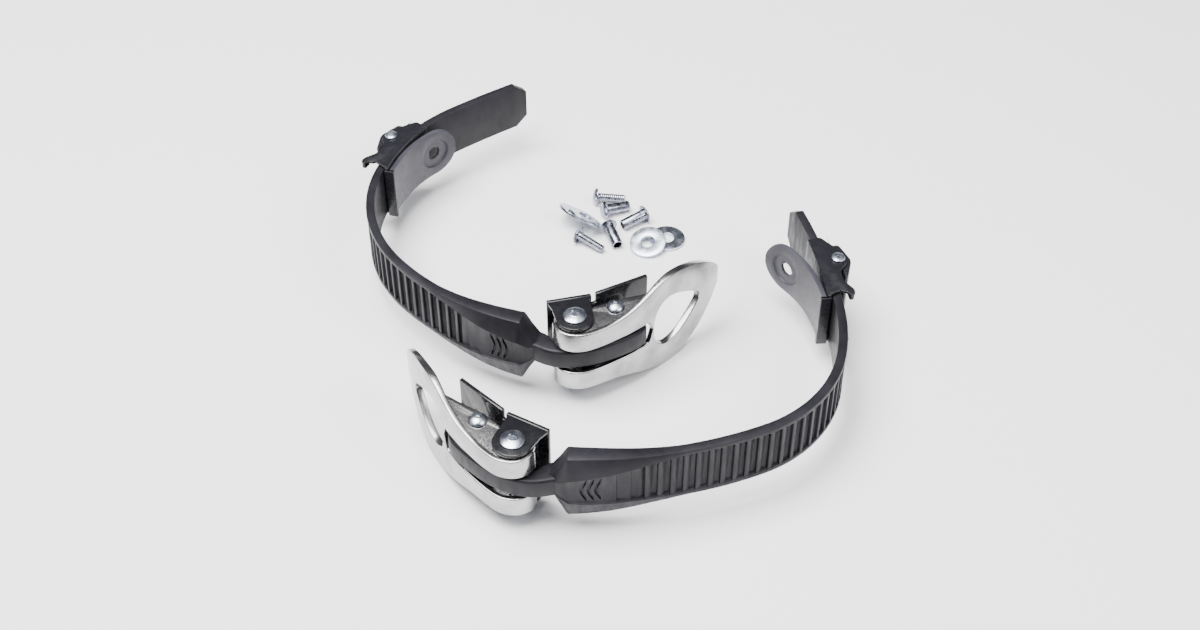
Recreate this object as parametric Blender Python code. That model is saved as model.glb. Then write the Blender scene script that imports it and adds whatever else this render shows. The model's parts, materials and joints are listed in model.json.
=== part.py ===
"""Pair of ratchet ladder buckle straps with their loose fixings.  Metres, +Z up.

Each strap stands on its edge and bends like a C round the boot it closes.
One end is a ladder held by a small ratchet adjuster, which carries the anchor
strap; the other ends in a tongue pinned to an over-centre lever on a base.

Everything is drawn once, in millimetres, in a plan whose origin is the base
pin: x runs towards the finger loop, y towards the boot, z from the strap's
mid-plane.  The left strap is that drawing stood up; the right strap is the
same drawing turned over, so the two are mirror images.
"""
import math

import bmesh
import bpy
from mathutils import Euler, Matrix, Vector

MM = 0.001


# ---- the two straps as they lie (mm, degrees) --------------------------------
MID_HEIGHT = 24.35                 # mid-plane above the floor
CENTRE = (-0.910, 8.093)           # middle of the whole set, moved to the origin
STRAP_START = (-19.4, 5.6)         # inner face at the shoulder's end
# at: base pin x, y and turn about Z; heading: inner face looking to the tail;
# arcs: (length, radius) of the bend; adjust: station of the adjuster's pivot;
# slides_on: the arc the adjuster slides along
SIDES = {
    "left": dict(at=(-10.1, -38.5, 3.2), over=0.0, heading=160.1,
                 arcs=((66.0, 109.6), (65.0, 68.5), (52.0, 82.0), (40.0, 400.0)), adjust=150.4,
                 slides_on=2),
    "right": dict(at=(-32.4, -105.3, -19.5), over=180.0, heading=163.5,
                  arcs=((76.4, 160.0), (53.0, 56.3), (29.0, 97.0), (64.0, 320.0)), adjust=181.6,
                  slides_on=3),
}

# ---- finishes: colour, roughness, metallic -----------------------------------
FINISHES = {
    "strap_black": ((0.035, 0.034, 0.040), 0.48, 0.0),
    "lever_steel": ((0.72, 0.71, 0.70), 0.28, 1.0),
    "base_black": ((0.012, 0.012, 0.014), 0.20, 0.0),
    "adjuster_black": ((0.012, 0.012, 0.014), 0.25, 0.0),
    "zinc": ((0.62, 0.66, 0.70), 0.25, 1.0),
    "dark_steel": ((0.30, 0.31, 0.34), 0.30, 1.0),
}

# ---- ladder strap ------------------------------------------------------------
STRAP_THICK = 3.9
STRAP_HALF_FRONT = 12.5            # half width beside the shoulder
STRAP_HALF_TAIL = 11.6             # half width at the tail
RAIL = 2.1
TOOTH_PITCH = 4.9
TOOTH_DEPTH = 1.4
TOOTH_RAMP = 3.2
TEETH_FROM, TEETH_TO = 28.6, 210.0
TAIL_CLIP = 6.0                    # clipped corners of the tail
SHOULDER_WIDTH = ((0.6, 15.5), (7.0, 15.3), (16.0, 14.7), (31.0, 13.3), (42.0, STRAP_HALF_FRONT))
SHOULDER_EDGE = ((0.6, 7.2), (16.0, 6.2), (31.0, 4.8), (46.0, STRAP_THICK))
SHOULDER_MID = ((0.6, 9.8), (7.0, 9.4), (16.0, 8.2), (31.0, 5.6), (46.0, STRAP_THICK))
SHOULDER_RAIL = ((0.6, 9.4), (7.0, 8.4), (16.0, 6.8), (31.0, 3.6), (42.0, RAIL))
PANEL = ((0.6, 9.0), (7.0, 8.4), (17.9, 6.9), (18.2, 6.3), (23.3, 5.6), (23.6, 5.1))
CHEVRONS = (4.6, 7.2, 9.8)       # stations of the chevron tips
CHEVRON_HALF = 5.7
CHEVRON_RAKE = 2.2
CHEVRON_WIDE = 1.1
TONGUE_HALF = 4.7
TONGUE_OUTER = ((-22.0, -1.0), (-17.4, -2.9), (-13.4, -5.3), (-9.5, -7.0), (-5.5, -7.8),
                (-1.3, -8.0), (3.4, -7.6), (7.9, -6.6), (12.6, -5.0), (17.1, -3.1),
                (22.0, -0.7), (26.4, 2.0), (28.8, 4.4))
TONGUE_INNER = ((29.6, 6.4), (28.4, 8.4), (25.0, 9.4), (21.6, 10.8), (19.0, 12.0), (16.4, 12.2),
                (13.4, 11.0), (11.6, 8.4), (10.8, 5.2), (9.0, 1.2), (6.0, -2.2),
                (2.4, -3.7), (-2.4, -3.8), (-6.0, -2.8), (-8.8, -0.2), (-10.8, 3.2),
                (-14.2, 5.4), (-22.0, 7.0))


# ---- lever -------------------------------------------------------------------
STRAP_PIN_AT = (16.8, 6.6)         # pin through the tongue's knuckle
LEVER_LINE = ((-9.2, -0.4), (-8.5, -3.8), (-6.6, -6.6), (-3.4, -8.7), (0.4, -9.5), (4.5, -9.1),
              (10.5, -6.7), (17.1, -3.1), (23.0, 0.4), (28.8, 4.7), (34.2, 9.4), (39.5, 14.0),
              (45.0, 18.9), (50.2, 24.4), (54.5, 29.4), (58.3, 34.4), (61.8, 39.6), (64.0, 43.2))
LEVER_THICK = 2.2
LEVER_HALF = ((0, 15.3), (27, 15.35), (33, 16.0), (40, 17.8), (47, 20.3), (54, 22.9), (61, 24.3),
              (68, 23.8), (76, 20.9), (82.5, 17.4), (88, 13.4), (92, 10.2), (95, 7.4), (97, 4.8),
              (98.3, 2.6), (98.9, 1.0))
SLOT_HALF = 5.9
SLOT_END = 50.6
LOOP_HALF = ((52.9, 4.8), (53.6, 7.2), (55.0, 9.7), (58.0, 12.0), (61.5, 12.6), (65.5, 11.8),
             (70.5, 9.4), (75.5, 6.2), (78.8, 3.7), (80.8, 1.4))
FLANGE_Z = (13.1, 15.1)
FLANGE_DEPTH = ((5.5, 9.0), (13, 13.4), (33, 13.2), (40, 9.4), (47, 5.4), (54, 2.6), (57, 1.6))


# ---- base --------------------------------------------------------------------
BASE_LINE = ((-10.9, 8.5), (7.2, 11.7), (31.0, 22.4))
BASE_THICK = 1.6
BASE_HALF = 17.2
EAR_Z = (15.6, 17.2)
EAR_RADIUS = 7.8
BASE_HOLE = 5.4


# ---- pins --------------------------------------------------------------------
BASE_PIN = dict(radius=2.5, head=4.8, dome=1.0, rim=0.5, z=17.35)
STRAP_PIN = dict(radius=2.1, head=3.7, dome=1.5, rim=0.5, z=15.45)
PIN_CLEAR = 0.15


# ---- adjuster and anchor strap -----------------------------------------------
FRAME_FRONT, FRAME_BACK = -22.0, 14.0
FRAME_WALL_Z = (12.5, 13.8)
FRAME_FLOOR = (-1.9, -0.6)         # offsets from the strap's inner face
FRAME_WALL = ((-21.5, -1.4), (13.6, -1.4), (14.6, 3.4), (8.6, 7.0), (4.4, 10.4), (-3.0, 10.4),
              (-7.5, 6.4), (-14.0, 6.0), (-19.4, 8.9), (-22.2, 8.6), (-23.0, 6.4), (-20.6, 5.4),
              (-20.0, 3.0))
PIVOT_OUT = 7.3
FINGER = ((-9.4, 8.0), (-9.2, 9.4), (-1.4, 12.8), (0.6, 13.1), (11.2, 10.3), (12.4, 9.2),
          (11.9, 8.0), (8.8, 6.2), (8.4, 4.4), (6.6, 4.4), (3.4, 6.2), (2.0, 4.8), (0.0, 4.6),
          (-2.2, 4.9), (-3.4, 7.4))
FINGER_HALF = 12.1
ADJUST_PIN = dict(radius=1.5, head=2.9, dome=0.6, rim=0.5, z=13.95)
TAB_THICK = 2.9
TAB_HALF = 11.8
TAB_LENGTH = 46.0
TAB_RADIUS = 52.0
TAB_HOLE = 3.05
TAB_RING = 7.2


# ---- loose fixings -----------------------------------------------------------
WASHER = dict(outer=8.3, inner=3.2, thick=1.2)
SCREW = dict(radius=1.8, head=4.0, length=13.5)
SLEEVE = dict(radius=2.5, head=4.1, length=12.0, bore=1.9)
WASHERS = (((21.9, 51.4, 2.95), 60.0, 16.0), ((30.8, 56.6, 0.65), 0.0, 0.0),
           ((-11.5, 68.5, 5.80), 219.0, 39.0), ((-7.0, 64.4, 6.95), 219.0, 39.0))
SCREWS = (((-1.5, 83.0), 5.0), ((-9.5, 55.0), -35.0))
SLEEVES = (((2.3, 73.3), 24.0), ((20.5, 70.0), 211.5), ((4.0, 61.0), -70.0))


# ---- plan curves --------------------------------------------------------------
def smooth(points, steps=8):
    """Catmull-Rom curve through plan points."""
    pts = [Vector(p) for p in points]
    pts = [2 * pts[0] - pts[1]] + pts + [2 * pts[-1] - pts[-2]]
    out = []
    for a, b, c, d in zip(pts, pts[1:], pts[2:], pts[3:]):
        for k in range(steps):
            t = k / steps
            out.append(0.5 * (2 * b + (c - a) * t + (2 * a - 5 * b + 4 * c - d) * t * t
                              + (3 * b - a - 3 * c + d) * t ** 3))
    return out + [pts[-2]]


def arcs(start, heading, pieces, step=0.5):
    """Arcs that turn clockwise, one after the other, as a dense plan line."""
    at, out = Vector(start), [Vector(start)]
    turn = math.radians(heading)
    for length, radius in pieces:
        count = int(length / step)
        for _ in range(count):
            turn -= length / count / radius / 2
            at = at + Vector((math.cos(turn), math.sin(turn))) * (length / count)
            turn -= length / count / radius / 2
            out.append(at.copy())
    return out


class Line:
    """A plan line measured by its length; `side` is +1 if outwards is to its left."""

    def __init__(self, points, side):
        self.points, self.side = points, side
        self.stations = [0.0]
        for a, b in zip(points, points[1:]):
            self.stations.append(self.stations[-1] + (b - a).length)
        self.length = self.stations[-1]

    def on(self, s):
        k = 0
        while k < len(self.stations) - 2 and self.stations[k + 1] < s:
            k += 1
        a, b = self.points[k], self.points[k + 1]
        return a + (b - a) * ((s - self.stations[k]) / (b - a).length)

    def heading(self, s):
        return (self.on(s + 0.6) - self.on(s - 0.6)).normalized()

    def at(self, s, out=0.0):
        way = self.heading(s)
        return self.on(s) + Vector((-way.y, way.x)) * (out * self.side)


def table(pairs, s):
    """Straight interpolation in a table of (station, value)."""
    if s <= pairs[0][0]:
        return pairs[0][1]
    for (a, va), (b, vb) in zip(pairs, pairs[1:]):
        if s <= b:
            return va + (vb - va) * (s - a) / (b - a)
    return pairs[-1][1]


LEVER = Line(smooth(LEVER_LINE), -1)


# ---- solids -------------------------------------------------------------------
def solid(rings):
    """Closed mesh over rings of equal length, with a flat face at each end."""
    bm = bmesh.new()
    rows = [[bm.verts.new(Vector(p) * MM) for p in ring] for ring in rings]
    for a, b in zip(rows, rows[1:]):
        for i in range(len(a)):
            j = (i + 1) % len(a)
            bm.faces.new((a[i], a[j], b[j], b[i]))
    bm.faces.new(rows[0])
    bm.faces.new(rows[-1])
    bmesh.ops.recalc_face_normals(bm, faces=bm.faces)
    mesh = bpy.data.meshes.new("solid")
    bm.to_mesh(mesh)
    bm.free()
    return mesh


def prism(outline, z0, z1):
    """Plan outline between two heights."""
    return solid([[(p[0], p[1], z) for p in outline] for z in (z0, z1)])


def ribbon(line, stations, half, out0, out1):
    """Band along a plan line, `half` wide each way, from offset out0 to out1."""
    rings = []
    for s in stations:
        a, b, h = line.at(s, out0), line.at(s, out1), half(s)
        rings.append([(a.x, a.y, -h), (b.x, b.y, -h), (b.x, b.y, h), (a.x, a.y, h)])
    return solid(rings)


def turned(profile, segments=20):
    """Profile of (radius, z) turned about Z; it starts and ends on the axis."""
    rings = []
    for r, z in profile:
        rings.append([(max(r, 0.02) * math.cos(2 * math.pi * k / segments),
                       max(r, 0.02) * math.sin(2 * math.pi * k / segments), z)
                      for k in range(segments)])
    return solid(rings)


def ring(outer, inner, z0, z1, segments=24, ease=0.15):
    """Washer: an eased ring between two heights."""
    profile = ((inner, z0), (outer - ease, z0), (outer, z0 + ease),
               (outer, z1 - ease), (outer - ease, z1), (inner, z1))
    bm = bmesh.new()
    rows = []
    for k in range(segments):
        a = 2 * math.pi * k / segments
        rows.append([bm.verts.new(Vector((r * math.cos(a), r * math.sin(a), z)) * MM)
                     for r, z in profile])
    for k in range(segments):
        a, b = rows[k], rows[(k + 1) % segments]
        for i in range(len(profile)):
            j = (i + 1) % len(profile)
            bm.faces.new((a[i], a[j], b[j], b[i]))
    bmesh.ops.recalc_face_normals(bm, faces=bm.faces)
    mesh = bpy.data.meshes.new("ring")
    bm.to_mesh(mesh)
    bm.free()
    return mesh


def moved(mesh, matrix):
    copy = mesh.copy()
    copy.transform(matrix)
    return copy


def combine(base, others, operation):
    """One exact boolean after another; returns the finished mesh."""
    body = bpy.data.objects.new("body", base)
    bpy.context.scene.collection.objects.link(body)
    tools = []
    for k, mesh in enumerate(others):
        tool = bpy.data.objects.new("tool%d" % k, mesh)
        bpy.context.scene.collection.objects.link(tool)
        step = body.modifiers.new("step%d" % k, "BOOLEAN")
        step.operation, step.object, step.solver = operation, tool, "EXACT"
        tools.append(tool)
    bpy.context.view_layer.update()
    graph = bpy.context.evaluated_depsgraph_get()
    result = bpy.data.meshes.new_from_object(body.evaluated_get(graph))
    for obj in tools + [body]:
        bpy.data.objects.remove(obj)
    return cleaned(result)


def cleaned(mesh):
    """Merge the slivers a boolean leaves and triangulate."""
    bm = bmesh.new()
    bm.from_mesh(mesh)
    bmesh.ops.remove_doubles(bm, verts=bm.verts, dist=0.00001)

    bmesh.ops.triangulate(bm, faces=bm.faces)
    bm.to_mesh(mesh)
    bm.free()
    return mesh


def cut(base, *others):
    return combine(base, others, "DIFFERENCE")


def join(base, *others):
    return combine(base, others, "UNION")


def cylinder(radius, z0, z1, segments=24):
    return turned(((0, z0), (radius, z0), (radius, z1), (0, z1)), segments)


def at_point(mesh, x, y, z=0.0):
    return moved(mesh, Matrix.Translation(Vector((x, y, z)) * MM))


def along(mesh, point, direction):
    """Stand a Z-aligned mesh at a plan point, pointing along a plan direction."""
    turn = Vector((direction[0], direction[1], 0)).to_track_quat("Z", "Y").to_matrix().to_4x4()
    return moved(mesh, Matrix.Translation(Vector((point[0], point[1], 0)) * MM) @ turn)


# ---- the pieces of one strap ----------------------------------------------------
def ladder_section(line, s, half, inner, edge, mid, floor, lip):
    """Ring of the strap at station s: rails or wings each side of a lower floor."""
    shape = ((-half, inner), (-half, edge), (-lip, mid), (-lip + 0.25, floor),
             (lip - 0.25, floor), (lip, mid), (half, edge), (half, inner))
    out = []
    for z, n in shape:
        p = line.at(s, n)
        out.append((p.x, p.y, z))
    return out


def ladder_strap(line):
    length = line.length
    rings = []
    for s, half, inner, edge, mid, floor, lip in (
            (-7.6, 4.2, -1.0, 4.2, 5.6, 5.4, 2.2),
            (-5.4, 5.2, -1.0, 5.2, 7.0, 6.8, 2.6),
            (-2.4, 10.2, -0.4, 6.6, 9.0, 8.7, 4.2)):
        rings.append(ladder_section(line, s, half, inner, edge, mid, floor, lip))
    panel = [(s, table(PANEL, s)) for s in (0.6, 7.0, 12.0, 17.9, 18.2, 23.3, 23.6)]
    for k in range(int((TEETH_TO - TEETH_FROM) / TOOTH_PITCH)):
        crest = TEETH_FROM + k * TOOTH_PITCH
        sunk = table(((TEETH_FROM, 0.5), (46.0, 0.0)), crest)
        for s, drop in ((crest - 0.3, TOOTH_DEPTH), (crest, 0.1),
                        (crest + TOOTH_RAMP, TOOTH_DEPTH)):
            panel.append((s, table(SHOULDER_MID, s) - sunk - drop))
    for s, floor in panel:
        half = table(SHOULDER_WIDTH + ((length, STRAP_HALF_TAIL),), s)
        lip = half - table(SHOULDER_RAIL, s)
        rings.append(ladder_section(line, s, half, 0.0, table(SHOULDER_EDGE, s),
                                    table(SHOULDER_MID, s), floor, lip))
    for s, clip in ((length - TAIL_CLIP - 1.5, 0.0), (length - TAIL_CLIP, 0.0),
                    (length, TAIL_CLIP * 0.8)):
        half = STRAP_HALF_TAIL - clip
        rings.append(ladder_section(line, s, half, 0.0, STRAP_THICK, STRAP_THICK,
                                    STRAP_THICK - 0.1, half - RAIL))
    strap = solid(rings)

    tongue = eased_prism(smooth(TONGUE_OUTER, 3) + smooth(TONGUE_INNER, 3), TONGUE_HALF, 1.1)
    strap = join(strap, tongue)

    tools = [at_point(cylinder(STRAP_PIN["radius"] + PIN_CLEAR, -9, 9), *STRAP_PIN_AT)]
    for tip in CHEVRONS:
        floor = table(PANEL, tip + 1.0)
        rings = []
        for s, z in ((tip + CHEVRON_RAKE, -CHEVRON_HALF), (tip + 0.5, -CHEVRON_HALF * 0.5),
                     (tip, 0.0), (tip + 0.5, CHEVRON_HALF * 0.5),
                     (tip + CHEVRON_RAKE, CHEVRON_HALF)):
            a, b = line.at(s, floor - 0.7), line.at(s, floor + 2.0)
            c, d = line.at(s + CHEVRON_WIDE, floor + 2.0), line.at(s + CHEVRON_WIDE, floor - 0.7)
            rings.append([(p.x, p.y, z) for p in (a, b, c, d)])
        tools.append(solid(rings))
    return cut(strap, *tools)


def eased_prism(outline, half, ease):
    """Plan outline from -half to half, its long edges chamfered by `ease`."""
    pts = [Vector(p) for p in outline]
    clean = [p for k, p in enumerate(pts) if (p - pts[k - 1]).length > 0.3]
    area = sum(a.x * b.y - b.x * a.y for a, b in zip(clean, clean[1:] + clean[:1]))
    sign = 1.0 if area > 0 else -1.0
    inset = []
    for k, p in enumerate(clean):
        way = (clean[(k + 1) % len(clean)] - clean[k - 1]).normalized()
        inset.append(p + Vector((-way.y, way.x)) * (ease * sign))
    rings = [[(p.x, p.y, -half) for p in inset], [(p.x, p.y, -half + ease) for p in clean],
             [(p.x, p.y, half - ease) for p in clean], [(p.x, p.y, half) for p in inset]]
    return solid(rings)


def lever():
    end = LEVER_HALF[-1][0]
    stations = [0.0, 2.0, 4.0, 6.0, 8.0, 10.0, 12.0, 14.0] + [17.0 + 3.0 * k for k in range(26)]
    stations = [s for s in stations if s < end - 4.0] + [94.0, 95.6, 96.5, end]
    plate = ribbon(LEVER, stations, lambda s: table(LEVER_HALF, s), -LEVER_THICK, 0.0)
    slot = ribbon(LEVER, [-3.0] + [k * 3.0 for k in range(17)] + [SLOT_END - 1.6, SLOT_END],
                  lambda s: SLOT_HALF if s < SLOT_END - 1 else SLOT_HALF - 1.6,
                  -LEVER_THICK - 3.0, 3.0)
    loop = ribbon(LEVER, [s for s, _ in LOOP_HALF], lambda s: table(LOOP_HALF, s),
                  -LEVER_THICK - 3.0, 3.0)
    plate = cut(plate, slot, loop)
    outer = [LEVER.at(s, -1.0) for s in [k * 1.5 for k in range(10)] + [15 + 3.0 * k for k in range(15)]]
    inner = [LEVER.at(s, -table(FLANGE_DEPTH, s)) for s in (57, 54, 51, 47, 44, 40, 37, 33, 29, 25)]
    inner += [Vector((6.5, 4.6)), Vector((2.5, 4.9)), Vector((-2.5, 4.7)), Vector((-6.4, 3.8)),
              Vector((-8.2, 1.8))]
    flanges = [prism(outer + inner, FLANGE_Z[0], FLANGE_Z[1]),
               prism(outer + inner, -FLANGE_Z[1], -FLANGE_Z[0])]
    body = join(plate, *flanges)
    return cut(body, cylinder(BASE_PIN["radius"] + PIN_CLEAR, -20, 20),
               at_point(cylinder(STRAP_PIN["radius"] + PIN_CLEAR, -20, 20), *STRAP_PIN_AT))


def buckle_base():
    line = Line([Vector(p) for p in BASE_LINE], +1)
    corner = (Vector(BASE_LINE[1]) - Vector(BASE_LINE[0])).length
    plate = ribbon(line, [0.0, corner - 1.5, corner, corner + 1.5, line.length],
                   lambda s: BASE_HALF, 0.0, BASE_THICK)
    notches = [prism([line.at(corner + 0.2, -2), line.at(corner + 2.4, -2),
                      line.at(corner + 2.4, 4), line.at(corner + 0.2, 4)], z0, z1)
               for z0, z1 in ((12.5, 20.0), (-20.0, -12.5))]
    left, right = line.at(0.0, 0.9), line.at(corner - 0.6, 0.9)
    front = [(EAR_RADIUS * math.cos(a), EAR_RADIUS * math.sin(a))
             for a in [math.radians(188 + 15 * k) for k in range(12)]]
    ear = [tuple(left), (-9.0, 5.0)] + front + [tuple(right)]
    body = join(plate, prism(ear, EAR_Z[0], EAR_Z[1] - 0.1), prism(ear, -EAR_Z[1] + 0.1, -EAR_Z[0]))
    middle = line.at(corner + 14.0)
    way = line.heading(corner + 14.0)
    hole = along(cylinder(BASE_HOLE / 2, -6, 6), middle, (-way.y, way.x))
    return cut(body, *notches, hole, cylinder(BASE_PIN["radius"] + PIN_CLEAR, -20, 20))


def sleeve_pin(radius, head, dome, rim, z):
    """Pin with a domed head on top and a bore from below for its screw."""
    bore = radius * 0.62
    return turned(((0, z + rim + dome), (head * 0.35, z + rim + dome * 0.94),
                   (head * 0.7, z + rim + dome * 0.68), (head * 0.93, z + rim + dome * 0.22),
                   (head, z + rim * 0.6), (head, z), (radius, z), (radius, -z + 0.5),
                   (bore, -z + 0.5), (bore, -2.0), (0, -2.0)))


def pin_screw(radius, head, dome, rim, z):
    """The screw that closes the pin from the other side, with the same head."""
    shank = radius * 0.62 - 0.12
    return turned(((0, -z - rim - dome), (head * 0.35, -z - rim - dome * 0.94),
                   (head * 0.7, -z - rim - dome * 0.68), (head * 0.93, -z - rim - dome * 0.22),
                   (head, -z - rim * 0.6), (head, -z), (shank, -z), (shank, -3.0), (0, -3.0)))


def adjuster_point(line, adjust, a, out):
    """Plan point of the adjuster: `a` towards the tail from its pivot."""
    origin, way = line.on(adjust), line.heading(adjust)
    return origin + way * a + Vector((-way.y, way.x)) * out


def adjuster_frame(line, adjust):
    stations = [adjust + FRAME_FRONT + (FRAME_BACK - FRAME_FRONT) * k / 8 for k in range(9)]
    floor = ribbon(line, stations, lambda s: FRAME_WALL_Z[1] - 0.1, FRAME_FLOOR[0], FRAME_FLOOR[1])
    outline = [tuple(line.at(adjust + a, n)) if n < 0 else tuple(adjuster_point(line, adjust, a, n))
               for a, n in FRAME_WALL]
    extra = [tuple(line.at(adjust + a, -1.3)) for a in (-16, -10, -4, 2, 8)]
    outline = [outline[0]] + extra + outline[1:]
    walls = [prism(outline, FRAME_WALL_Z[0], FRAME_WALL_Z[1]),
             prism(outline, -FRAME_WALL_Z[1], -FRAME_WALL_Z[0])]
    front = adjust + FRAME_FRONT
    lip = prism([line.at(front - 0.9, -0.7), line.at(front + 0.6, -0.7),
                 line.at(front + 0.6, -1.7), line.at(front + 0.1, -1.8),
                 line.at(front + 0.1, -5.4), line.at(front + 0.9, -5.5),
                 line.at(front + 0.9, -6.3), line.at(front - 0.9, -6.2)], -12.9, 12.9)
    bar_at = adjuster_point(line, adjust, -20.6, 7.2)
    hooks = [moved(ribbon(Line([adjuster_point(line, adjust, -22.6, 7.2), adjuster_point(line, adjust, -18.8, 7.2)], +1),
                          [0.0, 3.8], lambda s: 1.1, -1.0, 1.0), Matrix.Translation((0, 0, z * MM)))
             for z in (11.6, -11.6)]
    body = join(floor, *walls, lip, *hooks)
    pivot = adjuster_point(line, adjust, 0, PIVOT_OUT)
    return cut(body, at_point(cylinder(ADJUST_PIN["radius"] + PIN_CLEAR, -20, 20), *pivot))


def adjuster_lever(line, adjust):
    outline = [tuple(adjuster_point(line, adjust, a, n)) for a, n in FINGER]
    body = prism(outline, -FINGER_HALF, FINGER_HALF)
    corners = []
    for sign in (1, -1):
        rings = []
        for a, z in ((9.0, FINGER_HALF + 0.6), (11.2, FINGER_HALF - 1.2), (14.0, FINGER_HALF - 6.0)):
            low, high = adjuster_point(line, adjust, a, 7.0), adjuster_point(line, adjust, a, 18.0)
            rings.append([(low.x, low.y, sign * z), (high.x, high.y, sign * z),
                          (high.x, high.y, sign * 20), (low.x, low.y, sign * 20)])
        corners.append(solid(rings))
    pivot = adjuster_point(line, adjust, 0, PIVOT_OUT)
    hub = at_point(cylinder(2.7, -FINGER_HALF + 0.05, FINGER_HALF - 0.05, 24), *pivot)
    body = join(body, hub)
    return cut(body, *corners, at_point(cylinder(ADJUST_PIN["radius"] + PIN_CLEAR, -20, 20), *pivot))


def tab_line(line, adjust):
    """Mid-line of the anchor strap: clamped at the frame's front, bending inwards."""
    start = adjust + FRAME_FRONT + 0.4
    way = line.heading(start)
    first = line.at(start, FRAME_FLOOR[0] - 0.25 - TAB_THICK / 2)
    return Line(arcs(first, math.degrees(math.atan2(way.y, way.x)) - 1.5,
                     ((12.0, 100.0), (TAB_LENGTH - 12.0, TAB_RADIUS))), +1)


def anchor_strap(line, adjust):
    line = tab_line(line, adjust)
    round_from = TAB_LENGTH - TAB_HALF

    def half(s):
        if s <= round_from:
            return TAB_HALF
        return math.sqrt(max(TAB_HALF ** 2 - (s - round_from) ** 2, 0.5))

    stations = [round_from * k / 10 for k in range(11)]
    stations += [round_from + TAB_HALF * math.sin(math.radians(a)) for a in (12, 24, 36, 48, 60, 70, 79, 87)]
    body = ribbon(line, stations, half, -TAB_THICK / 2, TAB_THICK / 2)
    spot, way = line.on(round_from), line.heading(round_from)
    inwards = (way.y, -way.x)
    hole = along(cylinder(TAB_HOLE, -6, 6), spot, inwards)
    dish = along(turned(((0, 0.75), (TAB_RING - 1.0, 0.75), (TAB_RING + 0.5, 3.0), (0, 3.0)), 32),
                 spot, inwards)
    return cut(body, dish, hole)


def unit_pieces(side):
    """Every piece of one strap: its mesh, its finish and the plan point it turns about."""
    line = Line(arcs(STRAP_START, side["heading"], side["arcs"]), +1)
    adjust = side["adjust"]
    before = sum(length for length, _ in side["arcs"][:side["slides_on"]])
    length, radius = side["arcs"][side["slides_on"]]
    bend = line.at(before + length / 2, -radius)
    pivot = adjuster_point(line, adjust, 0, PIVOT_OUT)
    base, knuckle = (0.0, 0.0), STRAP_PIN_AT
    return {
        "ladder_strap": (ladder_strap(line), "strap_black", knuckle),
        "lever": (lever(), "lever_steel", knuckle),
        "buckle_base": (buckle_base(), "base_black", base),
        "base_pin": (sleeve_pin(**BASE_PIN), "zinc", base),
        "base_pin_screw": (pin_screw(**BASE_PIN), "zinc", base),
        "strap_pin": (at_point(sleeve_pin(**STRAP_PIN), *knuckle), "zinc", knuckle),
        "strap_pin_screw": (at_point(pin_screw(**STRAP_PIN), *knuckle), "zinc", knuckle),
        "adjuster_frame": (adjuster_frame(line, adjust), "adjuster_black", bend),
        "adjuster_lever": (adjuster_lever(line, adjust), "adjuster_black", pivot),
        "adjuster_pin": (at_point(sleeve_pin(**ADJUST_PIN), *pivot), "zinc", pivot),
        "adjuster_pin_screw": (at_point(pin_screw(**ADJUST_PIN), *pivot), "zinc", pivot),
        "anchor_strap": (anchor_strap(line, adjust), "strap_black", bend),
    }


# ---- loose fixings --------------------------------------------------------------
def screw():
    r, head, length = SCREW["radius"], SCREW["head"], SCREW["length"]
    return turned(((0, -1.9), (head * 0.45, -1.8), (head * 0.8, -1.3), (head, -0.5), (head, 0),
                   (r, 0), (r, length - 0.5), (r - 0.5, length), (0, length)), 18)


def sleeve():
    r, head, length, bore = SLEEVE["radius"], SLEEVE["head"], SLEEVE["length"], SLEEVE["bore"]
    return turned(((0, -1.5), (head * 0.6, -1.4), (head - 0.2, -0.9), (head, -0.4), (head, 0),
                   (r, 0), (r, length - 0.3), (r - 0.3, length), (bore, length), (bore, 1.5), (0, 1.5)), 18)


def finish(name):
    """The material of that name, made the first time it is asked for."""
    if name not in bpy.data.materials:
        colour, roughness, metallic = FINISHES[name]
        material = bpy.data.materials.new(name)
        material.use_nodes = True
        shader = material.node_tree.nodes["Principled BSDF"]
        shader.inputs["Base Color"].default_value = (*colour, 1.0)
        shader.inputs["Roughness"].default_value = roughness
        shader.inputs["Metallic"].default_value = metallic
    return bpy.data.materials[name]


def add(name, mesh, material, parent=None):
    mesh.name = name
    mesh.materials.clear()
    mesh.materials.append(finish(material))
    mesh.shade_smooth()
    mesh.set_sharp_from_angle(angle=math.radians(30))
    obj = bpy.data.objects.new(name, mesh)
    obj.parent = parent
    bpy.context.scene.collection.objects.link(obj)
    return obj


def lay(name, mesh, at, heading, head, radius, length):
    """A fastener on the floor, its head's rim and the end of its shank touching."""
    dip = math.atan2(head - radius, length)
    turn = Euler((0.0, math.radians(90) + dip, math.radians(heading)))
    low = min((turn.to_matrix() @ v.co).z for v in mesh.vertices)
    obj = add(name, mesh, "dark_steel")
    obj.rotation_euler = turn
    obj.location = ((at[0] - CENTRE[0]) * MM, (at[1] - CENTRE[1]) * MM, 0.05 * MM - low)


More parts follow.
